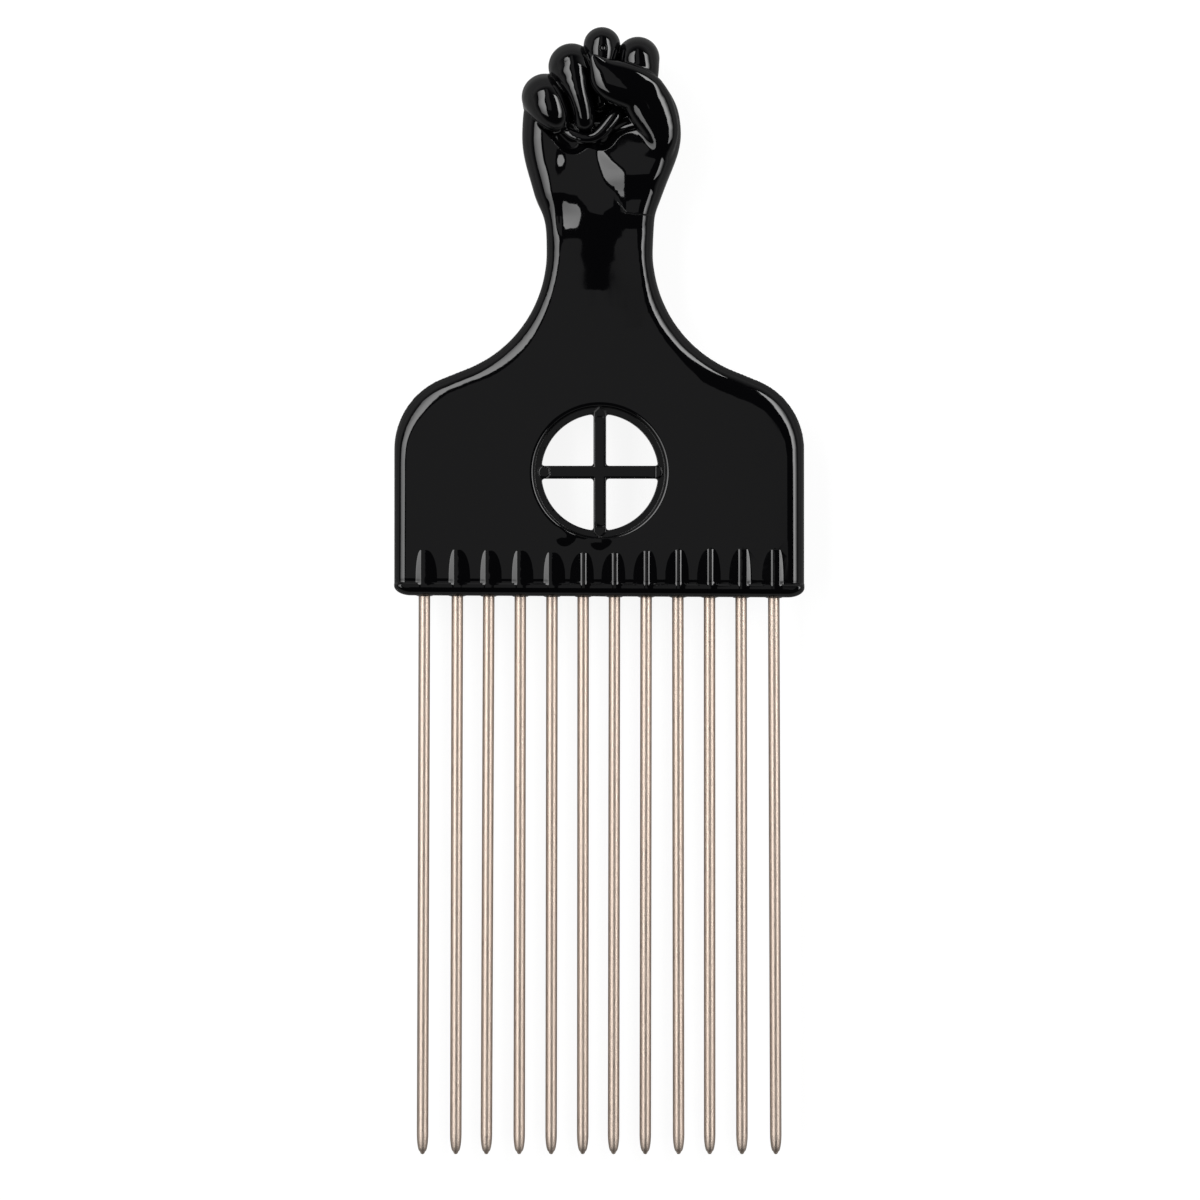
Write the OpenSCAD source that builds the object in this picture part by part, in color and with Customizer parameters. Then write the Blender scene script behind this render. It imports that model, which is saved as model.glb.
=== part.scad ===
// Hair pick: twelve steel wires moulded into a flat black plate whose handle is a raised fist.
// Millimetres. The pick lies on its back: X runs across the wires, Y from their tips to the
// knuckles and Z up through the palm side. The building datum is the middle of the plate's
// bottom edge, and the last step moves the origin to the bottom centre of the whole pick.

/* [Plate] */
// Width of the plate across the wires
plate_w = 71; // [68:0.5:78]
// Thickness of the plate
plate_t = 5; // [4.6:0.1:6]
// Radius of the rounding along the plate's rim
rim_r = 2.2; // [1:0.1:2.2]
// Height of the shoulder arc's centre above the bottom edge
shoulder_y = 25.3; // [24:0.1:30]
// Radius of the shoulder that turns the side into the slope
shoulder_r = 13.1; // [9:0.1:16]
// Degrees through which the shoulder turns
shoulder_turn = 68.1; // [60:0.1:70]
// Radius of the hollow that turns the slope into the neck
flare_r = 22.3; // [16:0.1:24]
// Width of the neck under the wrist
neck_w = 18.1; // [15:0.1:20]
// Breadth of the rounded bottom corner
corner_w = 2.8; // [1:0.1:3.5]
// Height of the rounded bottom corner
corner_h = 1.8; // [1:0.1:3.5]

/* [Window] */
// Diameter of the opening
window_d = 20.1; // [16:0.1:21]
// Height of its centre above the bottom edge
window_y = 21.45; // [21:0.05:24]
// Width of the recessed ledge round the opening
ledge_w = 1.35; // [0.8:0.05:1.6]
// Depth of the ledge below each face
ledge_depth = 0.9; // [0.5:0.05:1.2]
// Radius of the lip between the ledge wall and the face
lip_r = 0.6; // [0.2:0.05:0.8]
// Width of the two crossing bars
bar_w = 2.2; // [1.6:0.1:3]
// How far the bars stand above the ledge
bar_rise = 0.25; // [0.1:0.05:0.4]
// How far the bars reach over the ledge
bar_reach = 1.2; // [0.6:0.05:1.3]

/* [Rail and ridges] */
// Height of the thick rail along the bottom edge
rail_h = 2.15; // [1.8:0.05:3]
// How far the rail stands above each face
rail_rise = 0.8; // [0.4:0.05:1.2]
// Radius of the rail's lower rounding
rail_r = 1.5; // [0.8:0.1:1.7]
// How far the ridge over each wire stands above each face
ridge_rise = 0.7; // [0.3:0.05:1]
// Height of the ridges' upper ends above the bottom edge
ridge_h = 8.3; // [6:0.1:9]

/* [Wires] */
// Number of wires
tine_count = 12; // [8:1:12]
// Distance from the plate's side to the middle of the outermost wire
side_margin = 5.25; // [4.5:0.05:6.5]
// Diameter of the wire
tine_d = 2; // [1.6:0.1:2.4]
// Length of wire below the plate's bottom edge
tine_reach = 96.65; // [70:0.5:110]
// Length of wire moulded into the plate
tine_embed = 7.4; // [5:0.1:8]
// Length of the ground point
tip_l = 3.6; // [2:0.1:6]
// Radius that the point is blunted to
tip_r = 0.4; // [0.2:0.05:0.6]
// Degrees by which the outermost wires lean outwards
splay = 0.2; // [0:0.05:0.5]
// Width of the ring groove that locks the root
groove_w = 0.8; // [0.4:0.1:1.2]
// Depth of the ring groove
groove_depth = 0.2; // [0.1:0.05:0.3]
// Gap between the wire and its socket
socket_gap = 0.03; // [0.02:0.01:0.08]

/* [Fist] */
// Width of the fist across the knuckles
fist_w = 27.6; // [24:0.2:31]
// Height of the fist from the foot of the wrist to the highest knuckle
fist_h = 45.8; // [42:0.2:50]
// Thickness of the fist from the thumb to the back of the hand
fist_t = 16; // [13:0.2:19]
// How far the wrist stands proud of the neck at each side
wrist_proud = 0.3; // [0.2:0.05:0.8]
// How far the wrist's foot reaches down into the plate below the neck
wrist_sink = 7.3; // [5:0.1:9]

/* [Hidden] */
TINES = [for (i = [1:tine_count]) str("tine_", i < 10 ? "0" : "", i)];

shell_black = "#1d1d1e";
nickel = "#c9c2ba";
overrun = 1;
round_fn = 96;
wire_fn = 40;
limb_fn = 24;

// The parting land left between the two roundings of a rim
land_share = 0.06;
// A small radius that keeps a corner from closing to a point
sharp_r = 0.12;

// Shoulder and neck: one straight slope touches both arcs
slope_l = ((plate_w - neck_w) / 2 - (shoulder_r + flare_r) * (1 - cos(shoulder_turn))) / sin(shoulder_turn);
shoulder_c = [plate_w / 2 - shoulder_r, shoulder_y];
neck_y = shoulder_y + (shoulder_r + flare_r) * sin(shoulder_turn) + slope_l * cos(shoulder_turn);
flare_c = [neck_w / 2 + flare_r, neck_y];
neck_sink_share = 0.4;
plate_top = neck_y + neck_sink_share * neck_w;

// Fist
fist_y = neck_y - wrist_sink;
top_y = fist_y + fist_h;

// Fist tables. x and r are shares of the width, y of the height and z of the thickness.
finger_shares = [
    // little finger
    [[-0.365, 0.71, -0.22, 0.13], [-0.343, 0.74, 0.155, 0.142], [-0.307, 0.695, 0.29, 0.12], [-0.27, 0.653, 0.27, 0.09]],
    // ring finger
    [[-0.19, 0.84, -0.24, 0.13], [-0.175, 0.856, 0.175, 0.14], [-0.118, 0.747, 0.325, 0.095], [-0.093, 0.66, 0.275, 0.09]],
    // middle finger
    [[0.03, 0.91, -0.25, 0.12], [0.024, 0.93, 0.155, 0.117], [0.027, 0.8, 0.28, 0.095], [0, 0.645, 0.19, 0.088]],
    // index finger
    [[0.24, 0.87, -0.24, 0.128], [0.248, 0.886, 0.14, 0.133], [0.26, 0.784, 0.22, 0.11], [0.235, 0.69, 0.19, 0.095]],
    // thumb
    [[-0.036, 0.89, 0.425, 0.033], [0.04, 0.84, 0.44, 0.088], [0.166, 0.793, 0.36, 0.124], [0.312, 0.766, 0.34, 0.128],
     [0.376, 0.683, 0.225, 0.12], [0.38, 0.585, 0.14, 0.135]],
    // fold of the palm under the fingertips
    [[-0.19, 0.605, 0.29, 0.03], [-0.1, 0.572, 0.325, 0.033], [0.01, 0.6, 0.32, 0.037], [0.085, 0.665, 0.28, 0.05]]];

// Palm and wrist. y is a share of the height, then come the middle's x as a share of the width, the
// half width and the front and back depths, each from 0 at the neck to 1 at the full fist, and the
// depth of the palm's hollow as a share of the thickness
palm_shares = [
    [0, 0, -0.2, -0.13, -0.13, 0], [0.075, 0, 0, 0.05, 0.04, 0], [0.16, 0.005, 0.03, 0.12, 0.12, 0.01],
    [0.245, 0.005, 0.05, 0.2, 0.22, 0.02], [0.335, -0.007, 0.28, 0.36, 0.4, 0.035],
    [0.425, -0.005, 0.6, 0.5, 0.58, 0.045], [0.515, 0.008, 0.88, 0.56, 0.74, 0.05],
    [0.605, 0.015, 1, 0.5, 0.84, 0.04], [0.69, 0, 0.75, 0.42, 0.9, 0], [0.775, 0, 0.25, 0.2, 0.92, 0],
    [0.86, 0.05, -0.5, -0.1, 0.8, 0], [0.93, 0.05, -1.1, -0.3, 0.45, 0]];

// The thumb and the back knuckles are what the fist's thickness is measured over
knuckles = [for (f = finger_shares) each f];
back_reach = max([for (k = knuckles) k[3] * fist_w - k[2] * fist_t]);
front_reach = max([for (k = knuckles) k[3] * fist_w + k[2] * fist_t]);
back_depth = fist_t * back_reach / (back_reach + front_reach);

// Where a row sits in the table of a smooth column
function smooth_at(rows, t) =
    let (n = len(rows) - 1, i = min(floor(t), n - 1), f = t - i,
         a = rows[max(i - 1, 0)], b = rows[i], c = rows[i + 1], d = rows[min(i + 2, n)])
    (b + (c - a) * f / 2 + (a - b * 5 / 2 + c * 2 - d / 2) * pow(f, 2)
     + ((b - c) * 3 + d - a) * pow(f, 3) / 2);

function arc(c, rx, ry, from, to, steps) =
    [for (i = [0:steps]) let (a = from + (to - from) * i / steps) c + [rx * cos(a), ry * sin(a)]];

// The right-hand outline of the plate from its bottom edge to the end of its neck, drawn in by d
function plate_side(d) =
    let (rx = max(corner_w - d, sharp_r), ry = max(corner_h - d, sharp_r))
    concat(
        arc([plate_w / 2 - d - rx, d + ry], rx, ry, -90, 0, 5),
        arc(shoulder_c, shoulder_r - d, shoulder_r - d, 0, shoulder_turn, 9),
        arc(flare_c, flare_r + d, flare_r + d, 180 + shoulder_turn, 180, 11),
        [[neck_w / 2 - d, plate_top - d]]);

function mirrored(p) = [for (i = [len(p) - 1:-1:0]) [-p[i][0], p[i][1]]];

// A slab with the plate's outline whose rim is rounded from both faces
module slab(t, r) {
    steps = 5;
    rim = min(r, t / 2 * (1 - land_share));
    levels = [for (i = [-steps:steps]) if (i != 0)
        let (a = 90 * (abs(i) - 1) / (steps - 1))
        [rim * (1 - cos(a)), sign(i) * (t / 2 - rim + rim * sin(a))]];
    rings = [for (l = levels) let (p = plate_side(l[0])) [for (q = concat(p, mirrored(p))) [q[0], q[1], l[1]]]];
    n = len(rings[0]);
    half = n / 2;
    last = len(rings) - 1;
    points = [for (r = rings) each r];
    walls = [for (k = [0:last - 1]) for (i = [0:n - 1]) let (j = (i + 1) % n)
        each [[k * n + i, (k + 1) * n + i, (k + 1) * n + j], [k * n + i, (k + 1) * n + j, k * n + j]]];
    back = [for (i = [0:half - 2]) [i, i + 1, n - 2 - i, n - 1 - i]];
    front = [for (f = back) [for (i = [3:-1:0]) f[i] + last * n]];
    polyhedron(points, concat(walls, back, front));
}

// The rail is the bottom strip of a thicker slab
module rail() {
    crown = plate_t + 2 * rail_rise;
    nose = rail_rise / 2;
    intersection() {
        slab(crown, rail_r);
        rotate([90, 0, 90])
            linear_extrude(plate_w + 2 * overrun, center = true)
            polygon(concat(
                [[-overrun, -crown / 2 - overrun], [rail_h - nose, -crown / 2 - overrun]],
                arc([rail_h - nose, -crown / 2 + nose], nose, nose, -90, 0, 3),
                arc([rail_h - nose, crown / 2 - nose], nose, nose, 0, 90, 3),
                [[rail_h - nose, crown / 2 + overrun], [-overrun, crown / 2 + overrun]]));
    }
}

// A ridge swells round its wire and shows on both faces as a half bullet
module ridge() {
    r = plate_t / 2 + ridge_rise;
    full_share = 0.47;
    foot = ridge_h * full_share;
    nose_l = (ridge_h - foot) / sqrt(1 - pow(plate_t / 2 / r, 2));
    rotate([-90, 0, 0])
        rotate_extrude($fn = round_fn)
        polygon(concat([[0, rail_r], [r, rail_r]], arc([0, foot], r, nose_l, 0, 90, 8)));
}

tine_pitch = (plate_w - 2 * side_margin) / (tine_count - 1);

function tine_x(i) = (i - (tine_count - 1) / 2) * tine_pitch;
function tine_lean(i) = splay * (2 * i / (tine_count - 1) - 1);

// Where wire i leaves the plate, with its point towards -Z
module at_tine(i) {
    translate([tine_x(i), 0, 0]) rotate([-90, 0, 0]) rotate([0, tine_lean(i), 0]) children();
}

// The half section of a wire above its end, or with a gap that of the socket that it seats in
function wire_section(gap, end) =
    let (r = tine_d / 2 + gap, neck = r - groove_depth, groove_share = 0.6, groove = tine_embed * groove_share,
         half = groove_w / 2 - gap, bevel = groove_depth / 2)
    concat(end,
        [[r, groove - half - bevel], [neck, groove - half], [neck, groove + half], [r, groove + half + bevel],
         [r, tine_embed - bevel], [r - bevel, tine_embed + gap], [0, tine_embed + gap]]);

module socket(i) {
    at_tine(i) rotate_extrude($fn = wire_fn)
        polygon(wire_section(socket_gap, [[0, -overrun], [tine_d / 2 + socket_gap, -overrun]]));
}

// The window: a ledge cut from both faces, the opening through it and the bars left standing
module window_cut() {
    r = window_d / 2;
    ledge_r = r + ledge_w;
    ledge = plate_t / 2 - ledge_depth;
    translate([0, window_y, 0]) difference() {
        union() {
            cylinder(h = plate_t + 2 * overrun, r = r, center = true, $fn = round_fn);
            for (side = [0, 1]) mirror([0, 0, side])
                rotate_extrude($fn = round_fn)
                polygon(concat(
                    [[0, ledge], [ledge_r, ledge]],
                    arc([ledge_r + lip_r, plate_t / 2 - lip_r], lip_r, lip_r, 180, 90, 4),
                    [[ledge_r + lip_r, plate_t / 2 + overrun], [0, plate_t / 2 + overrun]]));
        }
        bars(r, 2 * (ledge + bar_rise));
    }
}

// Crossing bars with round ends across and pointed ends along
module bars(r, t) {
    run = r + bar_reach;
    linear_extrude(t, center = true) {
        square([2 * run - bar_w, bar_w], center = true);
        for (side = [-1, 1]) translate([side * (run - bar_w / 2), 0]) circle(d = bar_w, $fn = round_fn);
        polygon([for (s = [1, -1]) each [
            [s * bar_w / 2, -s * (run - bar_w / 2)], [s * bar_w / 2, s * (run - bar_w / 2)], [0, s * run]]]);
    }
}

module fist() {
    translate([0, fist_y, 0]) resize([fist_w, fist_h, fist_t]) {
        for (f = finger_shares) limb([for (s = f) [s[0] * fist_w, s[1] * fist_h, s[2] * fist_t, s[3] * fist_w]]);
        palm();
    }
}

// Balls along a limb, each joined to the next by the cone that touches both. A link starts a
// little inside the ball that the one before it ends in, so no two skins lie on each other.
module limb(balls) {
    inner_share = 0.95;
    for (i = [0:len(balls) - 2]) let (a = balls[i])
        link([a[0], a[1], a[2], a[3] * (i == 0 ? 1 : inner_share)], balls[i + 1]);
}

module link(a, b) {
    v = [b[0] - a[0], b[1] - a[1], b[2] - a[2]];
    l = norm(v);
    tilt = asin((a[3] - b[3]) / l);
    translate([a[0], a[1], a[2]]) rotate([0, acos(v[2] / l), atan2(v[1], v[0])])
        rotate_extrude($fn = limb_fn)
        polygon(concat(arc([0, 0], a[3], a[3], -90, tilt, 4), arc([0, l], b[3], b[3], tilt, 90, 4)));
}

module palm() {
    around = 36;
    rows = 22;
    bulge_share = 0.8;
    wrist = neck_w / 2 + wrist_proud;
    rings = [for (k = [0:rows]) let (s = smooth_at(palm_shares, (len(palm_shares) - 1) * k / rows))
        [for (i = [0:around - 1])
            let (a = 360 * i / around, up = sin(a),
                 half = wrist + s[2] * (fist_w / 2 - wrist),
                 front = plate_t / 2 + s[3] * (fist_t - back_depth - plate_t / 2),
                 back = plate_t / 2 + s[4] * (back_depth - plate_t / 2),
                 hollow = up > 0 ? s[5] * fist_t * pow(up, 6) : 0)
            [s[1] * fist_w + half * sign(cos(a)) * pow(abs(cos(a)), bulge_share), s[0] * fist_h,
             (up > 0 ? front : back) * sign(up) * pow(abs(up), bulge_share) - hollow]]];
    points = [for (r = rings) each r];
    last = rows * around;
    walls = [for (k = [0:rows - 1]) for (i = [0:around - 1]) let (p = k * around, j = (i + 1) % around)
        each [[p + i, p + j, p + around + j], [p + i, p + around + j, p + around + i]]];
    polyhedron(points, concat(walls, [[for (i = [around - 1:-1:0]) i]],
        [[for (i = [0:around - 1]) last + i]]));
}

module handle() {
    color(shell_black) difference() {
        union() {
            slab(plate_t, rim_r);
            fist();
            rail();
            for (i = [0:tine_count - 1]) translate([tine_x(i), 0, 0]) ridge();
        }
        window_cut();
        for (i = [0:tine_count - 1]) socket(i);
    }
}

module tine(i) {
    color(nickel) at_tine(i) rotate_extrude($fn = wire_fn) polygon(wire_section(0, tip_points()));
}

// A point whose round flank meets the wire squarely and ends in a small dome
function tip_points() =
    let (r = tine_d / 2, flank = 6)
    concat(
        arc([0, tip_r - tine_reach], tip_r, tip_r, -90, 0, 3),
        [for (i = [flank - 1:-1:0]) let (f = i / flank)
            [tip_r + (r - tip_r) * sqrt(1 - pow(f, 2)), tip_l - tine_reach - f * (tip_l - tip_r)]]);

module seated() {
    translate([0, (tine_reach - top_y) / 2, back_depth]) children();
}

seated() handle();
for (i = [0:tine_count - 1])
    seated() tine(i);
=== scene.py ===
import time

import bmesh
import bpy
import numpy as np
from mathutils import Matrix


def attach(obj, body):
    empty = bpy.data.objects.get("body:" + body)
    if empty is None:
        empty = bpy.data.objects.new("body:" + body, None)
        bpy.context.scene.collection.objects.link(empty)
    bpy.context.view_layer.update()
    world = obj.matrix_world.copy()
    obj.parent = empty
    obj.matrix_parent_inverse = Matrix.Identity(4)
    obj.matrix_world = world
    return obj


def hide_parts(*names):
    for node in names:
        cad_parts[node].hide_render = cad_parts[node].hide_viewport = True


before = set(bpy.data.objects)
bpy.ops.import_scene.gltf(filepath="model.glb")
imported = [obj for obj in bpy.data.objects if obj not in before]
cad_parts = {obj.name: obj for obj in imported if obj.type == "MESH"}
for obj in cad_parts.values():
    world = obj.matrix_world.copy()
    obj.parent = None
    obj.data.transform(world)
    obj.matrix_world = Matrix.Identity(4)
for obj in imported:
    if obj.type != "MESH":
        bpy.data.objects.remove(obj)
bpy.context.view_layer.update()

# The shapes are worked out in millimetres from the middle of the plate's bottom edge, with z = 0
# half way through the plate, and this takes them to the frame of the part
datum = np.array([0.0, -0.853, 7.03])
started = time.time()


def say(words):
    print("%5.1f s  %s" % (time.time() - started, words), flush=True)


# A natural cubic through rows of (position, values...), kept as a fine table that is looked up
def smoothTable(rows, step=0.01):
    t = np.array([r[0] for r in rows], float)
    v = np.array([r[1:] for r in rows], float)
    n, h = len(t), np.diff(t)
    m, d = np.eye(n), np.zeros_like(v)
    for i in range(1, n - 1):
        m[i, i - 1:i + 2] = h[i - 1], 2 * (h[i - 1] + h[i]), h[i]
        d[i] = 6 * ((v[i + 1] - v[i]) / h[i] - (v[i] - v[i - 1]) / h[i - 1])
    c = np.linalg.solve(m, d)
    x = np.arange(t[0], t[-1] + step, step).clip(t[0], t[-1])
    i = np.clip(np.searchsorted(t, x) - 1, 0, n - 2)
    a, b, w = (x - t[i])[:, None], (t[i + 1] - x)[:, None], h[i][:, None]
    fine = ((c[i] * b ** 3 + c[i + 1] * a ** 3) / (6 * w) + (v[i] / w - c[i] * w / 6) * b
            + (v[i + 1] / w - c[i + 1] * w / 6) * a)
    return lambda p, k=0: np.interp(p, x, fine[:, k])


# Weighted mean of the neighbours along one axis, with weights that fall off over `spread` samples
def soften(values, spread, axis=0):
    n = int(3 * spread) + 1
    weights = np.exp(-0.5 * (np.arange(-n, n + 1) / spread) ** 2)
    padded = np.pad(values, [(n, n) if i == axis else (0, 0) for i in range(values.ndim)], "edge")
    return np.apply_along_axis(lambda a: np.convolve(a, weights / weights.sum(), "valid"), axis, padded)


def smoothStep(t):
    t = np.clip(t, 0, 1)
    return t * t * (3 - 2 * t)


# The smaller of two distances, with a fillet of about radius r where they meet
def join(a, b, r):
    h = np.maximum(r - np.abs(a - b), 0)
    return np.minimum(a, b) - h * h / (4 * r)


# a less b, with the edge eased over about r
def cut(a, b, r):
    return -join(-a, b, r)


# Keeps a fillet that fades out from reaching zero, which it is divided by
tiny = 1e-6

plate = {
    # each side: half width, shoulder height, shoulder radius, degrees the shoulder turns, flare
    # radius, half the neck
    "left": (35.49, 25.5, 13.09, 68.39, 21.7, 9.12),
    "right": (35.49, 25.4, 12.87, 67.86, 22.4, 9.24),
    "half": 2.5,
    "corner": (2.9, 1.7),
    # the bottom edge drops a little from left to right, and its middle lies this far under zero
    "drop": 0.0055, "low": 0.06,
    # height up the pick, radius of the rounding along the left and the right rim
    "rim": [(0, 2.2, 2.85), (10, 2.3, 2.95), (20, 2.35, 3.0), (27, 2.8, 3.5), (33, 4.4, 4.8), (42, 4.2, 4.8),
            (48, 3.0, 4.2), (54, 2.5, 3.2), (60, 2.45, 3.05), (64, 2.4, 3.0), (68, 2.9, 3.1), (74, 3.6, 3.4),
            (94, 3.6, 3.6)],
    # half the width over which the left rim's radius turns into the right one's
    "middle": 8,
    # radius along the bottom edge, the height where the sides' own begins and how far it takes
    "bottomRim": (1.5, 1.9, 0.5),
    # along the right of the neck: share of the radius by which the rim's arc is lifted, the heights
    # where that starts and ends, how far it takes, and how much of it eases the edge
    "neckLift": (0.049, 37, 63, 6, 0.6),
    # the rail: its rise, where it is full and where it ends, and the place, width and depth of the
    # dip above it, which a ridge of the last height closes
    "railRise": 0.38, "railCrest": 1.7, "railFoot": 2.3, "railDip": (2.42, 0.28, 0.08, 0.45),
    # shallow swellings under the window: x, y, radius, height
    "swells": [(-6.0, 10.5, 2.2, 0.17), (0.0, 10.1, 2.5, 0.17)],
    "reliefTo": 13.5,
    # the collar of plastic round each wire: radius, how far it drops, how high it reaches, fillet
    "collar": (1.25, 0.16, 1.5, 0.3),
}
ridges = {
    "places": (-30.28, -24.58, -19.14, -13.67, -8.19, -2.79, 2.63, 8.11, 13.6, 19.09, 24.56, 30.21),
    "tops": (7.8, 7.9, 7.8, 7.8, 7.5, 7.5, 7.5, 7.9, 8.1, 8.3, 8.3, 8.25),
    "kind": (0, 0, 0, 0, 0, 1, 1, 1, 1, 1, 2, 2),
    # how far the surface falls below the crest at distances from the wire's middle: a ridge with a
    # steep left flank, one with a narrow spine and wings, and one with a steep right flank
    "sections": (
        ((-1.8, 0.538), (-0.52, 0), (-0.05, 0), (0.45, 0.03), (2.8, 0.5)),
        ((-3.2, 0.55), (-0.38, 0.083), (-0.18, 0), (0.34, 0), (0.54, 0.1), (2.3, 0.6)),
        ((-3.2, 0.58), (-0.5, 0.11), (-0.25, 0), (0.2, 0), (0.9, 0.07), (1.18, 0.22), (2.0, 0.62))),
    "spine": (0.0, 0.083, 0.11), "wing": (0.37, 0.35, 0.33),
    # where a spine ends above its wing and over what length, and the fillets at the face and the rail
    "spineEnd": (0.2, 0.4), "faceFillet": 0.06, "railFillet": 0.3, "filletFrom": 0.1,
    "pitch": 5.5, "last": 11, "foot": 3.2, "soften": 0.05,
}
window = {
    "y": 21.43, "x": 0.09, "opening": 10.12, "ledge": 11.3, "ledgeZ": 1.6, "lip": 0.9,
    "bar": 1.1, "barZ": 1.85, "corner": 0.6, "overlap": 0.5,
    "ledgeEdge": 0.15, "barEdge": 0.3, "strokeEdge": 0.04,
    # a round end and a peg across, as x and radius, and how far out the pointed ends reach
    "barEnd": 9.8, "peg": (-9.65, 1.02), "point": 11.5,
    # lines engraved round the bars' ends: strokes of a point at the top and the bottom, and a ring
    "strokes": [(-1.05, 10.25, 0.0, 11.2), (0.0, 11.2, 1.05, 10.25), (-1.05, -10.2, -0.2, -11.15),
                (-0.2, -11.15, 1.05, -10.2), (-0.55, 9.55, 0.45, 9.55), (-0.5, -9.4, 0.5, -9.4)],
    "strokesOnBars": 10, "ring": (-9.75, 0.0, 1.08), "stroke": 0.13,
    "around": 13,
}
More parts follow.
